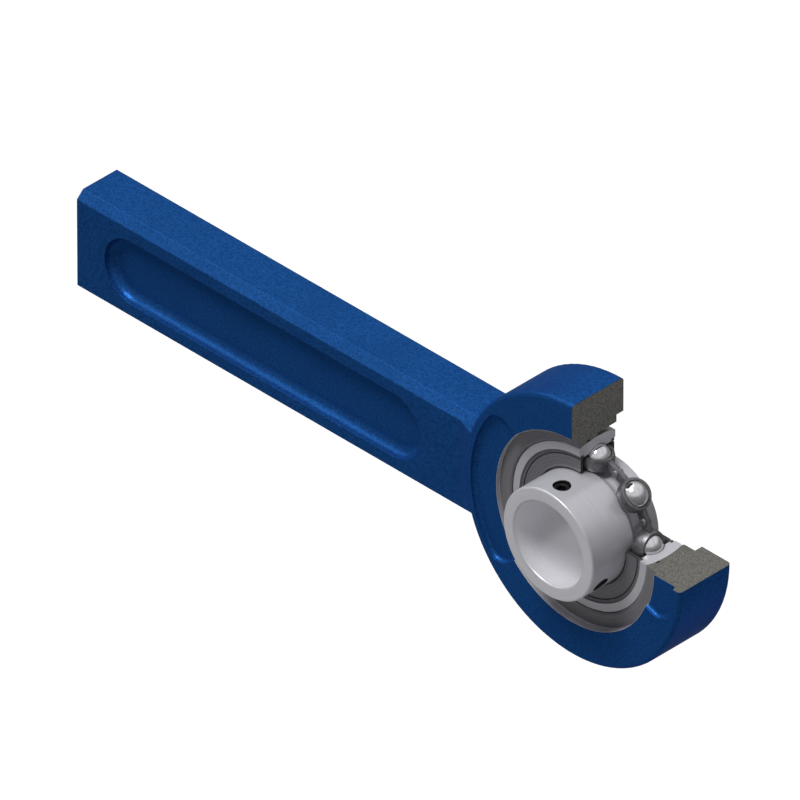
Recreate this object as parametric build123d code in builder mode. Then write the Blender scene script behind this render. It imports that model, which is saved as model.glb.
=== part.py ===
from build123d import *
import math
import os

# Take up bearing unit, shown cut open: a cast bar that ends in a ring, and a self-aligning ball bearing
# insert in the ring. The quarter from twelve to three o'clock of the ring, the outer ring and the seals
# is cut away. The frame has its origin at the centre of the bearing, X along the bar towards the ring,
# Y along the shaft towards the back face and Z up. All sizes are in millimetres.

# Housing ring
ring_outer_radius = 48.2
ring_width = 23.2
ring_edge_fillet = 1.4
end_recess_radius = 35.1
end_recess_depth = 3.1
seat_edge_chamfer = 0.5
grease_groove_y = -4.1
grease_groove_width = 1.7
grease_groove_depth = 1.0
loading_slot_depth = 1.3
loading_slot_play = 0.6

# Shallow relief in the front face of the ring, in two sectors about the bar's centre line
relief_depth = 1.55
relief_outer_radius = 45.1
relief_half_angle_bar_side = 43.5
relief_half_angle_far_side = 21.3
relief_corner_radius = 6.0
relief_floor_fillet = 1.4

# Bar
bar_end_x = -224.0
bar_height = 39.0
bar_thickness = 20.8
bar_edge_chamfer = 2.8
bar_root_fillet = 4.0
ramp_start_x = -50.9
ramp_end_x = -45.4
pocket_start_x = -211.5
pocket_end_x = -68.8
pocket_height = 24.4
pocket_depth = 3.5
pocket_floor_fillet = 3.3

# Bearing insert
outer_sphere_radius = 31.0
seat_clearance = 0.05
outer_ring_width = 16.0
outer_ring_chamfer = 0.5
bore_radius = 15.0
inner_ring_front_reach = 22.2
inner_ring_back_reach = 8.0
inner_ring_front_fillet = 0.7
inner_ring_back_chamfer = 0.6
bore_front_fillet = 0.85
bore_back_chamfer = 0.7

# Balls and raceways, as shares of the insert's height from bore to outside
ball_count = 8
ball_share = 0.5953
ring_gap_share = 0.375
raceway_play = 0.1
groove_to_ball = 1.05

# Cage
cage_sheet = 0.8
cage_ball_play = 0.14
cage_flat_to_rings = 1.3
cage_pocket_to_rings = 0.8
rivet_shank_radius = 0.75
rivet_head_radius = 1.4
rivet_head_height = 0.55

# Seals
seal_seat_step = 0.9
seal_seat_depth = 1.8
seal_front_step = 0.45
seal_bead_width = 1.2
seal_web_thickness = 0.55
seal_plate_thickness = 0.5
seal_plate_inner_gap = 0.6
seal_plate_outer_gap = 1.7
seal_rib_inset = 0.15
seal_rib_width = 0.5
seal_rib_height = 0.2
seal_lip_clearance = 0.12
seal_lip_width = 0.4

# Set screws
set_screw_diameter = 6.0
set_screw_play = 0.05
set_screw_length = 4.0
set_screw_bottom_radius = 15.1
set_screw_y = -16.0
set_screw_angles = (90, -30)
hex_socket_across_flats = 3.0
hex_socket_depth = 2.0
set_screw_chamfer = 0.4

half_ring = ring_width / 2
half_bar = bar_thickness / 2
half_outer = outer_ring_width / 2
seat_radius = outer_sphere_radius + seat_clearance
seat_half_width = half_ring - end_recess_depth
reach = 1.25 * ring_outer_radius

# The balls run half way between the bore and the outside, and the gap between the rings lies about them
insert_height = outer_sphere_radius - bore_radius
pitch_radius = bore_radius + insert_height / 2
ball_radius = ball_share * insert_height / 2
raceway_groove_radius = groove_to_ball * ball_radius
ring_gap = ring_gap_share * insert_height
inner_ring_outer_radius = pitch_radius - ring_gap / 2
outer_land_radius = pitch_radius + ring_gap / 2
seal_seat_radius = outer_land_radius + seal_seat_step
cage_flat_width = ring_gap - 2 * cage_flat_to_rings
cage_pocket_width = ring_gap - 2 * cage_pocket_to_rings


def polar(radius, degrees):
    angle = math.radians(degrees)
    return (radius * math.cos(angle), radius * math.sin(angle))


def on_sphere(radius, y):
    return math.sqrt(radius * radius - y * y)


def ring_angles(count, first=0.0):
    return [first + index * 360.0 / count for index in range(count)]


# The quarter that is cut away, a little longer than the ring is wide
with BuildPart() as missing_quarter:
    with BuildSketch(Plane.XZ.offset(-reach)):
        with Locations((reach / 2, reach / 2)):
            Rectangle(reach, reach)
    extrude(amount=2 * reach)


def bar_section(x, half_thickness):
    """The bar's section at x: the chamfer planes stay where they are when the faces move outwards."""
    top = bar_height / 2
    flat = half_bar - bar_edge_chamfer
    edge = top - bar_edge_chamfer - (half_thickness - half_bar)
    with BuildSketch(Plane.YZ.offset(x)) as section:
        Polygon(
            (flat, top), (half_thickness, edge), (half_thickness, -edge), (flat, -top),
            (-flat, -top), (-half_thickness, -edge), (-half_thickness, edge), (-flat, top),
            align=None,
        )
    return section


def long_edge(edge):
    """True for an edge of the bar's outline that lies in its front or back face, its end left out."""
    middle = edge.center()
    in_face = abs(abs(middle.Y) - half_bar) < 0.01
    return in_face and middle.X > bar_end_x + 0.01 and abs(middle.Z) > 0.01


def relief_space(centre_degrees, half_angle):
    """The space of a relief: a sector between the end recess and the rim, rounded all round its floor."""
    first = centre_degrees - half_angle
    last = centre_degrees + half_angle
    inner = end_recess_radius - relief_floor_fillet - 0.1
    with BuildPart() as space:
        with BuildSketch(Plane.XZ.offset(half_ring)) as sector:
            with BuildLine():
                CenterArc((0, 0), relief_outer_radius, first, 2 * half_angle)
                Line(polar(relief_outer_radius, last), polar(inner, last))
                CenterArc((0, 0), inner, first, 2 * half_angle)
                Line(polar(inner, first), polar(relief_outer_radius, first))
            make_face()
            outer_corners = sector.vertices().sort_by(lambda v: -math.hypot(v.X, v.Z))[:2]
            fillet(outer_corners, relief_corner_radius)
        extrude(amount=-relief_depth)
        fillet(space.faces().sort_by(Axis.Y)[-1].edges(), relief_floor_fillet)
    return space.part


# Housing: the casting
with BuildPart() as bar:
    with BuildSketch(Plane.XZ.offset(-half_bar)) as outline:
        Circle(ring_outer_radius - 0.4)
        with Locations((bar_end_x / 2, 0)):
            Rectangle(-bar_end_x, bar_height)
        roots = outline.vertices().filter_by(lambda v: bar_end_x + 1 < v.X < -1)
        fillet(roots, bar_root_fillet)
    extrude(amount=bar_thickness)
    chamfer(bar.edges().filter_by(long_edge), bar_edge_chamfer)

with BuildPart() as ramp:
    start = bar_section(ramp_start_x, half_bar)
    end = bar_section(ramp_end_x, half_ring)
    loft(sections=[start.sketch, end.sketch], ruled=True)
    extrude(end.sketch, amount=10)

with BuildPart() as ring:
    with BuildSketch(Plane.XZ.offset(-half_ring)):
        Circle(ring_outer_radius)
    extrude(amount=ring_width)
    fillet(ring.edges(), ring_edge_fillet)

with BuildPart() as bore_space:
    with BuildSketch(Plane.XY):
        edge_y = seat_half_width
        edge_radius = on_sphere(seat_radius, edge_y - seat_edge_chamfer)
        with BuildLine():
            Polyline(
                (0, -reach), (end_recess_radius, -reach), (end_recess_radius, -edge_y),
                (edge_radius + seat_edge_chamfer, -edge_y), (edge_radius, -edge_y + seat_edge_chamfer),
            )
            ThreePointArc(
                (edge_radius, -edge_y + seat_edge_chamfer), (seat_radius, 0),
                (edge_radius, edge_y - seat_edge_chamfer),
            )
            Polyline(
                (edge_radius, edge_y - seat_edge_chamfer), (edge_radius + seat_edge_chamfer, edge_y),
                (end_recess_radius, edge_y), (end_recess_radius, reach), (0, reach), (0, -reach),
            )
        make_face()
        with Locations((on_sphere(seat_radius, grease_groove_y) + grease_groove_depth - 2, grease_groove_y)):
            SlotOverall(4, grease_groove_width)
    revolve(axis=Axis.Y)

with BuildPart() as loading_slots:
    slot_floor = seat_radius + loading_slot_depth
    with BuildSketch(Plane.XZ):
        Circle(slot_floor)
        Rectangle(outer_ring_width + loading_slot_play, 3 * slot_floor, mode=Mode.INTERSECT)
    extrude(amount=-seat_half_width - 0.5)

with BuildPart() as pocket:
    with BuildSketch(Plane.XZ.offset(half_bar)):
        with Locations(((pocket_start_x + pocket_end_x) / 2, 0)):
            SlotOverall(pocket_end_x - pocket_start_x, pocket_height)
    extrude(amount=-pocket_depth)
    fillet(pocket.faces().sort_by(Axis.Y)[-1].edges(), pocket_floor_fillet)

with BuildPart() as housing:
    add(bar.part)
    add(ramp.part)
    add(ring.part)
    add(bore_space.part, mode=Mode.SUBTRACT)
    add(loading_slots.part, mode=Mode.SUBTRACT)
    add(pocket.part, mode=Mode.SUBTRACT)
    add(mirror(pocket.part, about=Plane.XZ, mode=Mode.PRIVATE), mode=Mode.SUBTRACT)
    add(relief_space(180, relief_half_angle_bar_side), mode=Mode.SUBTRACT)
    add(relief_space(0, relief_half_angle_far_side), mode=Mode.SUBTRACT)
    add(missing_quarter.part, mode=Mode.SUBTRACT)

# Outer ring: spherical outside, raceway groove inside, a stepped seat for a seal on each side
raceway_bottom_outer = pitch_radius + ball_radius + raceway_play
raceway_bottom_inner = pitch_radius - ball_radius - raceway_play
seal_floor_y = half_outer - seal_seat_depth

with BuildPart() as outer_ring:
    with BuildSketch(Plane.XY):
        corner_y = half_outer - outer_ring_chamfer
        corner_radius = on_sphere(outer_sphere_radius, corner_y)
        face_radius = corner_radius - outer_ring_chamfer
        with BuildLine():
            ThreePointArc((corner_radius, -corner_y), (outer_sphere_radius, 0), (corner_radius, corner_y))
            Polyline(
                (corner_radius, corner_y), (face_radius, half_outer), (seal_seat_radius, half_outer),
                (seal_seat_radius, seal_floor_y), (outer_land_radius, seal_floor_y),
                (outer_land_radius, -seal_floor_y), (seal_seat_radius, -seal_floor_y),
                (seal_seat_radius, -half_outer), (face_radius, -half_outer), (corner_radius, -corner_y),
            )
        make_face()
        with Locations((raceway_bottom_outer - raceway_groove_radius, 0)):
            Circle(raceway_groove_radius, mode=Mode.SUBTRACT)
    revolve(axis=Axis.Y)
    add(missing_quarter.part, mode=Mode.SUBTRACT)

# Inner ring: extended at the front, with two radial threaded holes for the set screws
with BuildPart() as inner_ring:
    front_y = -inner_ring_front_reach
    back_y = inner_ring_back_reach
    with BuildSketch(Plane.XY) as section:
        Polygon(
            (bore_radius, front_y), (inner_ring_outer_radius, front_y),
            (inner_ring_outer_radius, back_y - inner_ring_back_chamfer),
            (inner_ring_outer_radius - inner_ring_back_chamfer, back_y),
            (bore_radius + bore_back_chamfer, back_y), (bore_radius, back_y - bore_back_chamfer),
            align=None,
        )
        fillet(section.vertices().group_by(Axis.Y)[0].sort_by(Axis.X)[0], bore_front_fillet)
        fillet(section.vertices().group_by(Axis.Y)[0].sort_by(Axis.X)[-1], inner_ring_front_fillet)
        with Locations((raceway_bottom_inner + raceway_groove_radius, 0)):
            Circle(raceway_groove_radius, mode=Mode.SUBTRACT)
    revolve(axis=Axis.Y)
    for degrees in set_screw_angles:
        across, up = polar(1, degrees)
        with BuildSketch(Plane(origin=(0, set_screw_y, 0), z_dir=(across, 0, up))):
            Circle(set_screw_diameter / 2)
        extrude(amount=inner_ring_outer_radius + 2, mode=Mode.SUBTRACT)

# Set screws, each with a hexagon socket, seen along its own radius
set_screws = []
for degrees in set_screw_angles:
    across, up = polar(1, degrees)
    foot = (across * set_screw_bottom_radius, set_screw_y, up * set_screw_bottom_radius)
    screw_plane = Plane(origin=foot, x_dir=(0, 1, 0), z_dir=(across, 0, up))
    with BuildPart() as set_screw:
        with BuildSketch(screw_plane):
            Circle(set_screw_diameter / 2 - set_screw_play)
        extrude(amount=set_screw_length)
        chamfer(set_screw.edges().filter_by(GeomType.CIRCLE), set_screw_chamfer)
        with BuildSketch(screw_plane.offset(set_screw_length)):
            RegularPolygon(hex_socket_across_flats / 2, 6, major_radius=False)
        extrude(amount=-hex_socket_depth, mode=Mode.SUBTRACT)
    set_screws.append(set_screw)

# Balls
ball_angles = ring_angles(ball_count)
balls = []
for degrees in ball_angles:
    across, up = polar(pitch_radius, degrees)
    with BuildPart(Plane(origin=(across, 0, up))) as ball:
        Sphere(ball_radius)
    balls.append(ball)

# Cage: two pressed halves, each with a half pocket round every ball and a flat with a rivet between them
pocket_clear_radius = ball_radius + cage_ball_play
rivet_angles = ring_angles(ball_count, 180 / ball_count)
ball_spots = [polar(pitch_radius, degrees) for degrees in ball_angles]
rivet_spots = [polar(pitch_radius, degrees) for degrees in rivet_angles]

with BuildPart() as cage_pocket:
    with BuildSketch(Plane.XY):
        with Locations((pitch_radius, 0)):
            Circle(pocket_clear_radius + cage_sheet)
            Circle(pocket_clear_radius, mode=Mode.SUBTRACT)
        with Locations((pitch_radius, -ball_radius * 2)):
            Rectangle(2 * ball_radius, 4 * ball_radius, align=(Align.MIN, Align.CENTER), mode=Mode.INTERSECT)
    revolve(axis=Axis((pitch_radius, 0, 0), (0, 1, 0)))
    with BuildSketch(Plane.XZ):
        Circle(pitch_radius + cage_pocket_width / 2)
        Circle(pitch_radius - cage_pocket_width / 2, mode=Mode.SUBTRACT)
    extrude(amount=2 * ball_radius, mode=Mode.INTERSECT)

with BuildPart() as cage_front:
    with BuildSketch(Plane.XZ):
        Circle(pitch_radius + cage_flat_width / 2)
        Circle(pitch_radius - cage_flat_width / 2, mode=Mode.SUBTRACT)
        with Locations(*ball_spots):
            Circle(pocket_clear_radius + cage_sheet / 2, mode=Mode.SUBTRACT)
        with Locations(*rivet_spots):
            Circle(rivet_shank_radius, mode=Mode.SUBTRACT)
    extrude(amount=cage_sheet)
    for degrees in ball_angles:
        add(cage_pocket.part.rotate(Axis.Y, -degrees))

with BuildPart() as cage_rear:
    add(mirror(cage_front.part, about=Plane.XZ, mode=Mode.PRIVATE))

with BuildPart() as cage_rivets:
    with BuildSketch(Plane.XZ.offset(-cage_sheet)):
        with Locations(*rivet_spots):
            Circle(rivet_shank_radius)
    extrude(amount=2 * cage_sheet)
    for side in (1, -1):
        with BuildSketch(Plane.XZ.offset(side * cage_sheet)):
            with Locations(*rivet_spots):
                Circle(rivet_head_radius)
        extrude(amount=side * rivet_head_height, taper=side * 20)


def seal_pieces():
    """The front seal: a rubber ring with a bead and a lip, and the steel plate that backs it."""
    front = -half_outer + seal_front_step
    plate_back = front + seal_plate_thickness
    web_back = plate_back + seal_web_thickness
    lip_inner = inner_ring_outer_radius + seal_lip_clearance
    lip_outer = lip_inner + seal_lip_width
    bead_inner = seal_seat_radius - seal_bead_width
    plate_inner = inner_ring_outer_radius + seal_plate_inner_gap
    plate_outer = seal_seat_radius - seal_plate_outer_gap
    rib_inner = plate_inner + seal_rib_inset
    rib_outer = rib_inner + seal_rib_width
    with BuildPart() as rubber:
        with BuildSketch(Plane.XY):
            Polygon(
                (lip_inner, front + 0.1), (lip_outer, front + 0.1), (lip_outer, plate_back),
                (bead_inner, plate_back), (bead_inner, front), (seal_seat_radius, front),
                (seal_seat_radius, -seal_floor_y), (bead_inner, -seal_floor_y), (bead_inner, web_back),
                (lip_inner, web_back),
                align=None,
            )
        revolve(axis=Axis.Y)
        add(missing_quarter.part, mode=Mode.SUBTRACT)
    with BuildPart() as plate:
        with BuildSketch(Plane.XY):
            Polygon(
                (plate_inner, front), (rib_inner, front - seal_rib_height),
                (rib_outer, front - seal_rib_height), (rib_outer + seal_rib_inset, front),
                (plate_outer, front), (plate_outer, plate_back), (plate_inner, plate_back),
                align=None,
            )
        revolve(axis=Axis.Y)
        add(missing_quarter.part, mode=Mode.SUBTRACT)
    return rubber, plate


seal_rubber_front, seal_plate_front = seal_pieces()
with BuildPart() as seal_rubber_rear:
    add(mirror(seal_rubber_front.part, about=Plane.XZ, mode=Mode.PRIVATE))
with BuildPart() as seal_plate_rear:
    add(mirror(seal_plate_front.part, about=Plane.XZ, mode=Mode.PRIVATE))

pieces = {
    "housing": housing,
    "outer_ring": outer_ring,
    "inner_ring": inner_ring,
    "cage_front": cage_front,
    "cage_rear": cage_rear,
    "cage_rivets": cage_rivets,
    "seal_rubber_front": seal_rubber_front,
    "seal_plate_front": seal_plate_front,
    "seal_rubber_rear": seal_rubber_rear,
    "seal_plate_rear": seal_plate_rear,
}
for number, ball in enumerate(balls, start=1):
    pieces[f"ball_{number}"] = ball
for number, set_screw in enumerate(set_screws, start=1):
    pieces[f"set_screw_{number}"] = set_screw

os.makedirs("parts", exist_ok=True)
for name, piece in pieces.items():
    piece.part.label = name
    export_step(piece.part, f"parts/{name}.step")
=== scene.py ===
# Take up bearing unit, shown cut open: the materials of the CAD nodes, two threaded set screws, and the
# floor, light and camera of the photograph. Sizes are in metres, in the frame of the CAD: the origin is
# the bearing's centre, X runs along the bar towards the ring, Y along the shaft to the back and Z up.
import math

import bmesh
import bpy
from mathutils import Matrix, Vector


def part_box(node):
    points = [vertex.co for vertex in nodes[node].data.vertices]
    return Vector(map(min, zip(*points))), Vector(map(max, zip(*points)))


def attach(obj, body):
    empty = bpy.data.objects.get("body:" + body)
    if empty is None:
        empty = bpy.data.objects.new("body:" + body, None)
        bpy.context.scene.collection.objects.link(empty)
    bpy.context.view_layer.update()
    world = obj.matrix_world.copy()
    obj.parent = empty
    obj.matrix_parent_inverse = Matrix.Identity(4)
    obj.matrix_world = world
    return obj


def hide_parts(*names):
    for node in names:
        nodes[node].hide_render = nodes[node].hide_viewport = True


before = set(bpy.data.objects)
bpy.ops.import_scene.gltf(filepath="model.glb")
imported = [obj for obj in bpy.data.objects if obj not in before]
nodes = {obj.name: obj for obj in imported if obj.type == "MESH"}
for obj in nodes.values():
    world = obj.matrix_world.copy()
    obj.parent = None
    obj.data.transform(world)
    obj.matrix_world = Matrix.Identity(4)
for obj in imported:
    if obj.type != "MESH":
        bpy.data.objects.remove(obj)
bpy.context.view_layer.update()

MM = 0.001

# Places on the CAD by which a material tells one surface of its piece from another
inner_ring_low, inner_ring_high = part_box("inner_ring")
INNER_RING_FRONT = inner_ring_low[1]
INNER_RING_RADIUS = inner_ring_high[0]
BORE_RADIUS = 15.0 * MM
RECESS_RADIUS = 35.1 * MM
SEAL_BEAD_FROM = 24.0 * MM
SCREW_HOLE_RADIUS = 3.0 * MM

# Set screws: the first stands upright, so its box gives the size and place of both
SCREW_ANGLES = (90, -30)
screw_low, screw_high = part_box("set_screw_1")
SCREW_Y = (screw_low[1] + screw_high[1]) / 2
SCREW_RADIUS = (screw_high[1] - screw_low[1]) / 2
SCREW_FOOT = screw_low[2]
SCREW_LENGTH = screw_high[2] - screw_low[2]
SCREW_CHAMFER = 0.4 * MM
THREAD_PITCH = 1.0 * MM
THREAD_HEIGHT = 0.55 * MM
CREST_SHARE = 0.15
FLANK_SHARE = 0.6
CUP_RADIUS = 1.5 * MM
CUP_DEPTH = 0.4 * MM
CUP_RIM = 0.15 * MM
SOCKET_FLATS = 3.0 * MM
SOCKET_DEPTH = 2.0 * MM
SOCKET_LEAD_IN = 0.15 * MM
DRILL_POINT = 0.4 * MM
SCREW_SEGMENTS = 72
SCREW_STEPS = 52
SHARP_EDGE = math.radians(32)

# Camera: a long lens at the photograph's isometric angle, on about the middle of the unit. The sensor's
# width is in millimetres, as Blender has it
AZIMUTH = math.radians(45)
ELEVATION = math.radians(35.2644)
TARGET = Vector((-0.088318, 0.0, 0.000838))
DISTANCE = 11.7509
HALF_FIELD = math.radians(0.62)
SENSOR_WIDTH = 36.0
NEAREST = 0.5
FARTHEST = 60.0

# Floor: white to the camera, and well below the unit, which the photograph shows on plain white
FLOOR_Z = -0.33
FLOOR_HALF_SIZE = 30.0
WHITE_GLOW = 0.55
BOUNCE_GLOW = 0.7

# World: the light that glossy surfaces see, from straight below at 0 to straight above at 1
STUDIO_STOPS = [
    (0.0, 0.4), (0.46, 0.4), (0.52, 0.28), (0.57, 0.28), (0.64, 0.34), (0.79, 0.85), (1.0, 0.85),
]
STUDIO_BLUE = 1.02
PLAIN_LIGHT = 0.07


class Nodes:
    """A node tree. The inputs of its nodes are plain numbers or links."""

    def __init__(self, tree):
        self.tree = tree

    def node(self, kind, inputs=None, **settings):
        made = self.tree.nodes.new(kind)
        for key, value in settings.items():
            setattr(made, key, value)
        for key, value in (inputs or {}).items():
            self.join(value, made.inputs[key])
        return made

    def join(self, value, socket):
        if isinstance(value, bpy.types.NodeSocket):
            self.tree.links.new(value, socket)
        else:
            socket.default_value = value

    def math(self, operation, first, second=0.0):
        made = self.node("ShaderNodeMath", {0: first, 1: second}, operation=operation)
        return made.outputs[0]

    def blend(self, factor, first, second):
        """From one colour to another."""
        made = self.node("ShaderNodeMix", data_type="RGBA")
        self.join(factor, made.inputs["Factor"])
        self.join(first, made.inputs[6])
        self.join(second, made.inputs[7])
        return made.outputs[2]

    def between(self, factor, first, second):
        """From one number to another."""
        made = self.node("ShaderNodeMix", data_type="FLOAT")
        self.join(factor, made.inputs["Factor"])
        self.join(first, made.inputs[2])
        self.join(second, made.inputs[3])
        return made.outputs[0]

    def ramp(self, value, low, high):
        """0 below low, 1 above high, and smooth between them."""
        made = self.node("ShaderNodeMapRange", {"Value": value, "From Min": low, "From Max": high})
        made.interpolation_type = "SMOOTHSTEP"
        return made.outputs["Result"]

    def noise(self, vector, scale, detail=2.0, roughness=0.5):
        inputs = {"Vector": vector, "Scale": scale, "Detail": detail, "Roughness": roughness}
        return self.node("ShaderNodeTexNoise", inputs).outputs["Fac"]

    def speckle(self, noise, first, second):
        """Two colours, mixed by a noise, which lies mostly between 0.3 and 0.7."""
        return self.blend(self.ramp(noise, 0.3, 0.7), first, second)

    def split(self, vector):
        made = self.node("ShaderNodeSeparateXYZ", {0: vector})
        return made.outputs[0], made.outputs[1], made.outputs[2]

    def combine(self, x, y, z):
        return self.node("ShaderNodeCombineXYZ", {0: x, 1: y, 2: z}).outputs[0]

    def background(self, colour, strength):
        return self.node("ShaderNodeBackground", {"Color": colour, "Strength": strength}).outputs[0]

    def mix_shaders(self, factor, first, second):
        return self.node("ShaderNodeMixShader", {0: factor, 1: first, 2: second}).outputs[0]


class Material(Nodes):
    """A material with one Principled shader."""

    def __init__(self, name):
        self.material = bpy.data.materials.new(name)
        self.material.use_nodes = True
        super().__init__(self.material.node_tree)
        self.shader = self.tree.nodes["Principled BSDF"]

    def set(self, **inputs):
        for key, value in inputs.items():
            self.join(value, self.shader.inputs[key.replace("_", " ")])

    def point(self):
        return self.node("ShaderNodeTexCoord").outputs["Object"]

    def radius_of(self, x, z):
        squares = self.math("ADD", self.math("MULTIPLY", x, x), self.math("MULTIPLY", z, z))
        return self.math("SQRT", squares)

    def cut_mask(self, x, z):
        """1 on the two flat faces that the missing quarter leaves."""
        near = 0.02 * MM
        upper = self.math("LESS_THAN", self.math("ABSOLUTE", x), near)
        upper = self.math("MULTIPLY", upper, self.math("GREATER_THAN", z, near))
        lower = self.math("LESS_THAN", self.math("ABSOLUTE", z), near)
        lower = self.math("MULTIPLY", lower, self.math("GREATER_THAN", x, near))
        return self.math("MAXIMUM", upper, lower)

    def turned(self, point, lines):
        """Noise in fine lines round the Y axis, so many to the metre, as a lathe or grinder leaves them."""
        x, y, z = self.split(point)
        radius = self.radius_of(x, z)
        angle = self.math("ARCTAN2", z, x)
        stretched = self.combine(
            self.math("MULTIPLY", radius, lines),
            self.math("MULTIPLY", y, lines),
            self.math("MULTIPLY", angle, 0.6),
        )
        return self.noise(stretched, scale=1.0, detail=3.0, roughness=0.6)

    def relief(self, height, distance, edge_radius):
        """A normal with fine relief, and with the piece's sharp edges rounded to a radius."""
        rounded = self.node("ShaderNodeBevel", {"Radius": edge_radius}, samples=6).outputs[0]
        inputs = {"Height": height, "Distance": distance, "Strength": 1.0, "Normal": rounded}
        return self.node("ShaderNodeBump", inputs).outputs["Normal"]


def rgb(red, green, blue):
    """A colour written as 0 to 255, as linear light."""
    def linear(value):
        value = value / 255
        return value / 12.92 if value <= 0.04045 else ((value + 0.055) / 1.055) ** 2.4
    return (linear(red), linear(green), linear(blue), 1.0)


def grey(level):
    """A grey written as linear light."""
    return (level, level, level, 1.0)


def enamel_colour(look, point, grain):
    """Blue, speckled by the grain under it, with faint darker patches."""
    blue = look.speckle(grain, rgb(21, 65, 120), rgb(36, 89, 158))
    patches = look.noise(point, scale=60.0)
    patchy = look.math("MULTIPLY", look.ramp(patches, 0.35, 0.75), 0.3)
    return look.blend(patchy, blue, rgb(24, 67, 124))


def turned_iron_colour(look, lines, wall):
    """Grey in fine turned lines; the wall of the end recess is painted much brighter, as painted light."""
    faces = look.speckle(lines, rgb(124, 123, 126), rgb(142, 141, 144))
    # Painted light: the recess wall is painted bright in place of the light that the insert shades off it.
    painted_lit_wall = look.speckle(lines, rgb(192, 191, 195), rgb(208, 207, 211))
    return look.blend(wall, faces, painted_lit_wall)


def sawn_iron_colour(look, point, speck):
    """Grey specks, with darker mottling."""
    iron = look.blend(look.ramp(speck, 0.34, 0.66), rgb(90, 89, 85), rgb(138, 137, 132))
    mottle = look.noise(point, scale=600.0, detail=3.0, roughness=0.6)
    mottled = look.math("MULTIPLY", look.ramp(mottle, 0.45, 0.7), 0.5)
    return look.blend(mottled, iron, rgb(83, 82, 78))


def painted_casting():
    """Blue enamel on a sand-cast skin, with bare turned iron in the ring and sawn iron where it is cut."""
    look = Material("painted_casting")
    point = look.point()
    x, y, z = look.split(point)
    radius = look.radius_of(x, z)
    cut = look.cut_mask(x, z)
    bare = look.math("LESS_THAN", radius, RECESS_RADIUS + 0.1 * MM)
    # Mask of the recess wall, which is painted brighter: painted light.
    wall = look.math("MULTIPLY", bare, look.math("GREATER_THAN", radius, RECESS_RADIUS - 0.1 * MM))
    grain = look.noise(point, scale=1300.0, detail=4.0, roughness=0.7)
    skin = look.noise(point, scale=520.0, detail=3.0, roughness=0.6)
    speck = look.noise(point, scale=1900.0, detail=4.0, roughness=0.7)
    lines = look.turned(point, lines=5200.0)

    colour = look.blend(bare, enamel_colour(look, point, grain), turned_iron_colour(look, lines, wall))
    colour = look.blend(cut, colour, sawn_iron_colour(look, point, speck))
    rough = look.between(bare, look.between(skin, 0.27, 0.38), look.between(lines, 0.38, 0.52))
    rough = look.between(cut, rough, look.between(speck, 0.6, 0.8))
    metal = look.between(cut, look.between(bare, 0.42, 0.3), 0.0)

    painted_height = look.math("ADD", skin, look.math("MULTIPLY", grain, 0.35))
    height = look.between(bare, painted_height, look.math("MULTIPLY", lines, 0.12))
    height = look.between(cut, height, look.math("MULTIPLY", speck, 0.9))
    normal = look.relief(height, distance=0.06 * MM, edge_radius=0.45 * MM)
    look.set(Base_Color=colour, Roughness=rough, Metallic=metal, Normal=normal)
    look.set(Specular_IOR_Level=0.02, Specular_Tint=(0.1, 0.34, 1.0, 1.0))
    return look.material


def ground_steel(name, light, dark, roughness, metal, details=()):
    """Bearing steel ground in faint lines round the shaft. Each of the details changes a part of it."""
    look = Material(name)
    point = look.point()
    fine = look.turned(point, lines=9000.0)
    broad = look.turned(point, lines=900.0)
    streaks = look.math("MULTIPLY", look.ramp(broad, 0.4, 0.7), 0.2)
    colour = look.blend(look.ramp(fine, 0.2, 0.8), dark, light)
    colour = look.blend(streaks, colour, dark)
    rough = look.between(fine, roughness - 0.04, roughness + 0.06)
    height = fine
    for detail in details:
        colour, rough, height = detail(look, point, colour, rough, height)
    tangent = look.node("ShaderNodeTangent", direction_type="RADIAL", axis="Y").outputs[0]
    normal = look.relief(height, distance=0.0008 * MM, edge_radius=0.12 * MM)
    look.set(Base_Color=colour, Roughness=rough, Metallic=metal, Normal=normal)
    look.set(Anisotropic=0.25, Tangent=tangent)
    return look.material


def painted_light_bore_and_face(look, point, colour, rough, height):
    """The inner ring's bore and front face, painted brighter than the rest of it: painted light against
    their shade.
    """
    x, y, z = look.split(point)
    radius = look.radius_of(x, z)
    bore = look.math("LESS_THAN", radius, BORE_RADIUS + 0.02 * MM)
    # Painted light: the bore is painted brighter, in place of the light that its walls shade off it.
    colour = look.blend(bore, colour, rgb(234, 234, 239))
    front = look.math("LESS_THAN", y, INNER_RING_FRONT + 0.05 * MM)
    face = look.math("MULTIPLY", front, look.math("GREATER_THAN", radius, BORE_RADIUS + 0.8 * MM))
    # Painted light: the front face is painted brighter, as if it caught more light.
    painted_lit_face = look.blend(look.ramp(height, 0.2, 0.8), rgb(214, 214, 220), rgb(228, 228, 233))
    return look.blend(face, colour, painted_lit_face), rough, height


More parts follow.
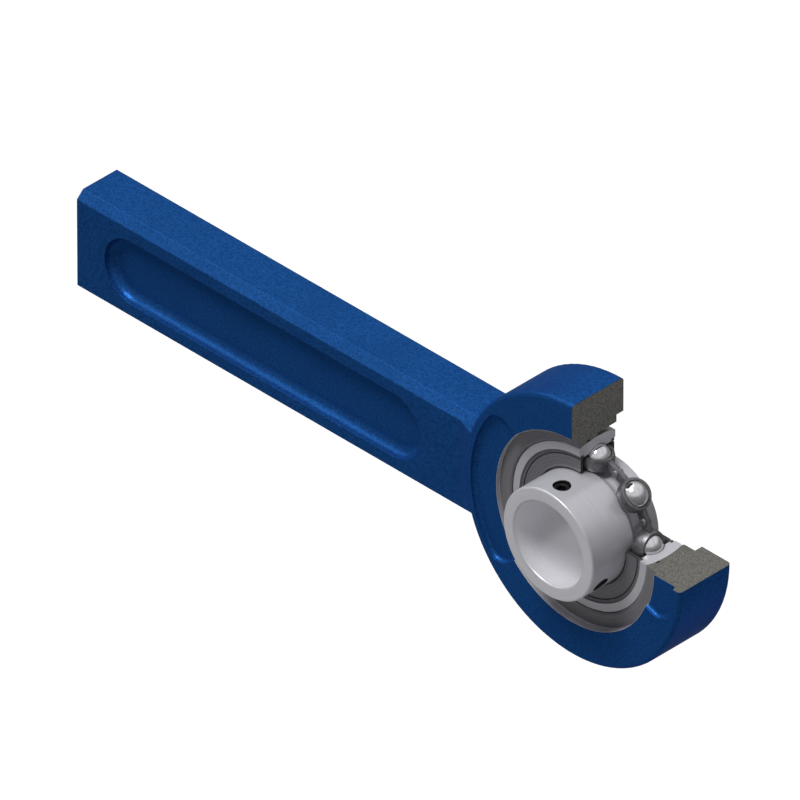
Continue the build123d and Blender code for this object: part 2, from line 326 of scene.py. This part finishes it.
def painted_shade_hole_threads(look, point, colour, rough, height):
    """Painted shade in the inner ring's two holes for the set screws: dark walls, darkest in the thread's
    grooves.
    """
    x, y, z = look.split(point)
    radius = look.radius_of(x, z)
    outside_bore = look.math("GREATER_THAN", radius, BORE_RADIUS + 0.05 * MM)
    inside_rim = look.math("LESS_THAN", radius, INNER_RING_RADIUS - 0.01 * MM)
    within = look.math("MULTIPLY", outside_bore, inside_rim)
    along = look.math("SUBTRACT", y, SCREW_Y)
    for degrees in SCREW_ANGLES:
        across = math.cos(math.radians(degrees))
        up = math.sin(math.radians(degrees))
        side = look.math("SUBTRACT", look.math("MULTIPLY", z, across), look.math("MULTIPLY", x, up))
        out = look.math("ADD", look.math("MULTIPLY", x, across), look.math("MULTIPLY", z, up))
        near = look.math("LESS_THAN", look.radius_of(side, along), SCREW_HOLE_RADIUS + 0.02 * MM)
        near = look.math("MULTIPLY", near, look.math("GREATER_THAN", out, 0.0))
        hole = look.math("MULTIPLY", near, within)
        turn = look.math("DIVIDE", look.math("ARCTAN2", along, side), 2 * math.pi)
        turns = look.math("ADD", look.math("DIVIDE", out, THREAD_PITCH), turn)
        thread = look.math("PINGPONG", turns, 0.5)
        # Painted shade: the hole walls are painted near black in a thread pattern.
        dark = look.blend(look.ramp(thread, 0.05, 0.45), rgb(22, 22, 24), rgb(46, 46, 49))
        colour = look.blend(hole, colour, dark)
        rough = look.between(hole, rough, 0.55)
        height = look.between(hole, height, look.math("MULTIPLY", thread, 200.0))
    return colour, rough, height


def ball_steel():
    """Polished steel, with a faint haze and hairline scratches."""
    look = Material("ball_steel")
    point = look.point()
    haze = look.noise(point, scale=900.0)
    x, y, z = look.split(point)
    drawn = look.combine(
        look.math("MULTIPLY", x, 300.0),
        look.math("MULTIPLY", y, 4000.0),
        look.math("MULTIPLY", z, 900.0),
    )
    scratch = look.noise(drawn, scale=1.0)
    colour = look.blend(look.ramp(haze, 0.35, 0.7), rgb(214, 214, 216), rgb(198, 198, 202))
    rough = look.between(scratch, 0.05, 0.11)
    look.set(Base_Color=colour, Roughness=rough, Metallic=1.0)
    return look.material


def cage_steel():
    """The cage's dark sheet, with the faint marks of the press."""
    look = Material("cage_steel")
    point = look.point()
    marks = look.noise(point, scale=700.0, detail=4.0, roughness=0.6)
    fine = look.noise(point, scale=3200.0)
    colour = look.speckle(marks, rgb(96, 96, 99), rgb(128, 128, 132))
    rough = look.between(fine, 0.3, 0.48)
    height = look.math("ADD", marks, look.math("MULTIPLY", fine, 0.3))
    normal = look.relief(height, distance=0.015 * MM, edge_radius=0.15 * MM)
    look.set(Base_Color=colour, Roughness=rough, Metallic=0.6, Normal=normal)
    return look.material


def rivet_steel():
    look = Material("rivet_steel")
    fine = look.noise(look.point(), scale=2600.0, detail=3.0, roughness=0.6)
    colour = look.speckle(fine, rgb(116, 116, 120), rgb(146, 146, 150))
    rough = look.between(fine, 0.36, 0.48)
    normal = look.relief(fine, distance=0.006 * MM, edge_radius=0.2 * MM)
    look.set(Base_Color=colour, Roughness=rough, Metallic=0.6, Normal=normal)
    return look.material


def seal_rubber():
    """Dark rubber, paler on the outer bead than on the inner lip and where it is cut."""
    look = Material("seal_rubber")
    point = look.point()
    fine = look.noise(point, scale=2400.0, detail=3.0, roughness=0.6)
    broad = look.noise(point, scale=240.0)
    x, y, z = look.split(point)
    bead = look.math("GREATER_THAN", look.radius_of(x, z), SEAL_BEAD_FROM)
    bead = look.math("SUBTRACT", bead, look.cut_mask(x, z))
    plain = look.speckle(fine, rgb(46, 46, 48), rgb(66, 66, 69))
    skin = look.speckle(fine, rgb(98, 98, 102), rgb(118, 118, 123))
    worn = look.math("MULTIPLY", look.ramp(broad, 0.4, 0.7), 0.3)
    colour = look.blend(worn, look.blend(bead, plain, skin), rgb(74, 74, 77))
    rough = look.between(fine, 0.5, 0.7)
    normal = look.relief(fine, distance=0.01 * MM, edge_radius=0.1 * MM)
    look.set(Base_Color=colour, Roughness=rough, Normal=normal)
    return look.material


def seal_plate():
    """The seal's steel backing, grey with a fine spun grain, and dark where it is cut."""
    look = Material("seal_plate")
    point = look.point()
    lines = look.turned(point, lines=4200.0)
    marks = look.noise(point, scale=500.0, detail=3.0, roughness=0.6)
    marked = look.math("MULTIPLY", look.ramp(marks, 0.45, 0.75), 0.35)
    colour = look.speckle(lines, rgb(110, 110, 115), rgb(128, 128, 133))
    colour = look.blend(marked, colour, rgb(108, 108, 113))
    x, y, z = look.split(point)
    colour = look.blend(look.cut_mask(x, z), colour, rgb(48, 48, 50))
    rough = look.between(lines, 0.34, 0.48)
    normal = look.relief(lines, distance=0.003 * MM, edge_radius=0.12 * MM)
    look.set(Base_Color=colour, Roughness=rough, Metallic=0.35, Normal=normal)
    return look.material


def black_screw():
    look = Material("black_screw")
    fine = look.noise(look.point(), scale=2200.0, detail=3.0, roughness=0.6)
    colour = look.speckle(fine, rgb(26, 26, 28), rgb(44, 44, 47))
    rough = look.between(fine, 0.34, 0.5)
    normal = look.relief(fine, distance=0.008 * MM, edge_radius=0.1 * MM)
    look.set(Base_Color=colour, Roughness=rough, Metallic=0.6, Normal=normal)
    return look.material


def dress_nodes(screw_material):
    """Each CAD node gets the material listed under the longest start of its name."""
    outer_steel = ground_steel(
        "outer_steel", light=rgb(204, 204, 210), dark=rgb(192, 192, 199), roughness=0.32, metal=0.3,
    )
    # The inner ring's details paint light on its bore and front face, and paint shade in its screw holes.
    inner_steel = ground_steel(
        "inner_steel", light=rgb(210, 210, 216), dark=rgb(199, 199, 206), roughness=0.28, metal=0.25,
        details=(painted_light_bore_and_face, painted_shade_hole_threads),
    )
    materials = {
        "housing": painted_casting(),
        "outer_ring": outer_steel,
        "inner_ring": inner_steel,
        "ball": ball_steel(),
        "cage": cage_steel(),
        "cage_rivets": rivet_steel(),
        "seal_rubber": seal_rubber(),
        "seal_plate": seal_plate(),
        "set_screw": screw_material,
    }
    for name, node in nodes.items():
        starts = [start for start in materials if name.startswith(start)]
        node.data.materials.clear()
        node.data.materials.append(materials[max(starts, key=len)])


def add_object(name, data):
    made = bpy.data.objects.new(name, data)
    bpy.context.scene.collection.objects.link(made)
    return made


def thread_radius(height, angle):
    """The thread's outside at a height over the foot: a helix of trapezoids between the two end cones."""
    phase = (height / THREAD_PITCH - angle / (2 * math.pi)) % 1.0
    depth = (abs(2 * phase - 1) - CREST_SHARE) / FLANK_SHARE
    radius = SCREW_RADIUS - THREAD_HEIGHT * min(max(depth, 0.0), 1.0)
    foot_cone = CUP_RADIUS + CUP_RIM + height
    head_cone = SCREW_RADIUS - SCREW_CHAMFER + SCREW_LENGTH - height
    return min(radius, foot_cone, head_cone)


def socket_radius(angle):
    """The hexagon's distance from the axis in a direction round it."""
    from_middle = math.degrees(angle) % 60 - 30
    return SOCKET_FLATS / 2 / math.cos(math.radians(from_middle))


def screw_rows(angles):
    """Rings of radius and height over the foot: the cup's rim, up the thread, and down into the socket."""
    heights = [SCREW_LENGTH * index / SCREW_STEPS for index in range(SCREW_STEPS + 1)]
    rows = [[(CUP_RADIUS, 0.0)] * len(angles)]
    rows += [[(thread_radius(height, angle), height) for angle in angles] for height in heights]
    for grown, sunk in ((SOCKET_LEAD_IN, 0.0), (0.0, SOCKET_LEAD_IN), (0.0, SOCKET_DEPTH)):
        rows.append([(socket_radius(angle) + grown, SCREW_LENGTH - sunk) for angle in angles])
    return rows


def join_rings(made, rings):
    """Faces from each ring of points to the next."""
    for lower, upper in zip(rings, rings[1:]):
        for index in range(SCREW_SEGMENTS):
            after = (index + 1) % SCREW_SEGMENTS
            made.faces.new((lower[index], lower[after], upper[after], upper[index]))


def close_ring(made, ring, place):
    """Faces from a ring of points to one place on the axis."""
    tip = made.verts.new(place)
    for index in range(SCREW_SEGMENTS):
        made.faces.new((ring[index], ring[(index + 1) % SCREW_SEGMENTS], tip))


def threaded_screw(name, degrees, material):
    """A set screw with a cut thread, a cup point and a hexagon socket, in the place of the plain one."""
    outward = Vector((math.cos(math.radians(degrees)), 0.0, math.sin(math.radians(degrees))))
    first = Vector((0.0, 1.0, 0.0))
    second = outward.cross(first)
    foot = outward * SCREW_FOOT + first * SCREW_Y
    angles = [2 * math.pi * index / SCREW_SEGMENTS for index in range(SCREW_SEGMENTS)]

    made = bmesh.new()
    rings = []
    for row in screw_rows(angles):
        ring = []
        for angle, (radius, height) in zip(angles, row):
            place = foot + outward * height
            place = place + first * (radius * math.cos(angle)) + second * (radius * math.sin(angle))
            ring.append(made.verts.new(place))
        rings.append(ring)
    join_rings(made, rings)
    close_ring(made, rings[0], foot + outward * CUP_DEPTH)
    close_ring(made, rings[-1], foot + outward * (SCREW_LENGTH - SOCKET_DEPTH - DRILL_POINT))
    bmesh.ops.recalc_face_normals(made, faces=made.faces)

    mesh = bpy.data.meshes.new(name)
    made.to_mesh(mesh)
    made.free()
    for face in mesh.polygons:
        face.use_smooth = True
    mesh.set_sharp_from_angle(angle=SHARP_EDGE)
    mesh.materials.append(material)
    return add_object(name, mesh)


def build_camera():
    back = Vector((
        math.sin(AZIMUTH) * math.cos(ELEVATION),
        -math.cos(AZIMUTH) * math.cos(ELEVATION),
        math.sin(ELEVATION),
    ))
    camera = add_object("camera", bpy.data.cameras.new("camera"))
    camera.data.sensor_width = SENSOR_WIDTH
    camera.data.lens = SENSOR_WIDTH / 2 / math.tan(HALF_FIELD)
    camera.data.clip_start = NEAREST
    camera.data.clip_end = FARTHEST
    camera.location = TARGET + back * DISTANCE
    camera.rotation_mode = "QUATERNION"
    camera.rotation_quaternion = (-back).to_track_quat("-Z", "Y")
    bpy.context.scene.camera = camera


def floor_gloss(look, x, y):
    """What the unit's gloss shows of the floor: grey that falls off to the right, darkest behind it."""
    across = look.math("ADD", look.math("MULTIPLY", x, -1.14), look.math("MULTIPLY", y, 0.8))
    level = look.math("ADD", across, 0.41)
    sheen = look.node("ShaderNodeClamp", {"Value": level, "Min": 0.2, "Max": 0.36}).outputs[0]
    behind = look.math("SUBTRACT", look.ramp(y, 0.1, 0.22), look.ramp(x, -0.02, 0.12))
    return look.between(look.math("MAXIMUM", behind, 0.0), sheen, 0.17)


def floor_material():
    """White for the camera, grey in the unit's gloss, and with a bounce of light under the cut quarter."""
    look = Material("floor")
    rays = look.node("ShaderNodeLightPath").outputs
    seen = look.math("MAXIMUM", rays["Is Camera Ray"], rays["Is Transmission Ray"])
    mirrored = rays["Is Glossy Ray"]
    point = look.point()
    x, y, z = look.split(point)

    grain = look.ramp(look.noise(point, scale=30.0), 0.3, 0.7)
    colour = look.blend(grain, grey(0.53), grey(0.56))
    colour = look.blend(seen, grey(0.22), colour)
    colour = look.blend(mirrored, colour, grey(0.0))

    white = look.math("MULTIPLY", seen, WHITE_GLOW)
    bounce = look.math("MULTIPLY", rays["Is Diffuse Ray"], look.ramp(x, 0.0, 0.08))
    plain = look.math("ADD", white, look.math("MULTIPLY", bounce, BOUNCE_GLOW))
    glow = look.between(mirrored, plain, floor_gloss(look, x, y))
    look.set(Base_Color=colour, Roughness=0.9, Specular_IOR_Level=0.0)
    look.set(Emission_Color=grey(1.0), Emission_Strength=glow)
    return look.material


def build_floor():
    half = FLOOR_HALF_SIZE
    corners = [(x, y, FLOOR_Z) for x, y in ((-half, -half), (half, -half), (half, half), (-half, half))]
    mesh = bpy.data.meshes.new("floor")
    mesh.from_pydata(corners, [], [(0, 1, 2, 3)])
    mesh.materials.append(floor_material())
    return add_object("floor", mesh)


def build_world():
    """White for the camera, a soft grey studio for reflections, and faint plain light for the rest."""
    world = bpy.data.worlds.new("studio")
    bpy.context.scene.world = world
    world.use_nodes = True
    world.node_tree.nodes.clear()
    sky = Nodes(world.node_tree)

    x, y, z = sky.split(sky.node("ShaderNodeTexCoord").outputs["Generated"])
    height = sky.node("ShaderNodeMapRange", {"Value": z, "From Min": -1.0, "From Max": 1.0})
    studio = sky.node("ShaderNodeValToRGB", {"Fac": height.outputs["Result"]})
    elements = studio.color_ramp.elements
    while len(elements) < len(STUDIO_STOPS):
        elements.new(0.5)
    for element, (place, level) in zip(elements, STUDIO_STOPS):
        element.position = place
        element.color = (level, level, level * STUDIO_BLUE, 1.0)

    rays = sky.node("ShaderNodeLightPath").outputs
    seen = sky.math("MAXIMUM", rays["Is Camera Ray"], rays["Is Transmission Ray"])
    plain = sky.background(grey(1.0), PLAIN_LIGHT)
    glossy = sky.background(studio.outputs["Color"], 1.0)
    white = sky.background(grey(1.0), 1.0)
    unseen = sky.mix_shaders(rays["Is Glossy Ray"], plain, glossy)
    sky.node("ShaderNodeOutputWorld", {"Surface": sky.mix_shaders(seen, unseen, white)})


def sun(name, towards, level, angle):
    """A soft sun in the direction given, that lights a surface facing it at this level."""
    data = bpy.data.lights.new(name, "SUN")
    data.energy = level * math.pi
    data.angle = math.radians(angle)
    lamp = add_object(name, data)
    lamp.rotation_mode = "QUATERNION"
    lamp.rotation_quaternion = Vector(towards).to_track_quat("Z", "Y")


black_oxide = black_screw()
dress_nodes(black_oxide)
for number, degrees in enumerate(SCREW_ANGLES, start=1):
    node = "set_screw_" + str(number)
    piece = threaded_screw("threaded_screw_" + str(number), degrees, black_oxide)
    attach(piece, node)
    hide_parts(node)

build_camera()
floor = build_floor()
build_world()
sun("key", towards=(-0.1, -0.36, 0.92), level=0.74, angle=24)
sun("fill", towards=(-0.6, -0.05, 0.78), level=0.22, angle=60)
bpy.context.scene.view_settings.view_transform = "Standard"
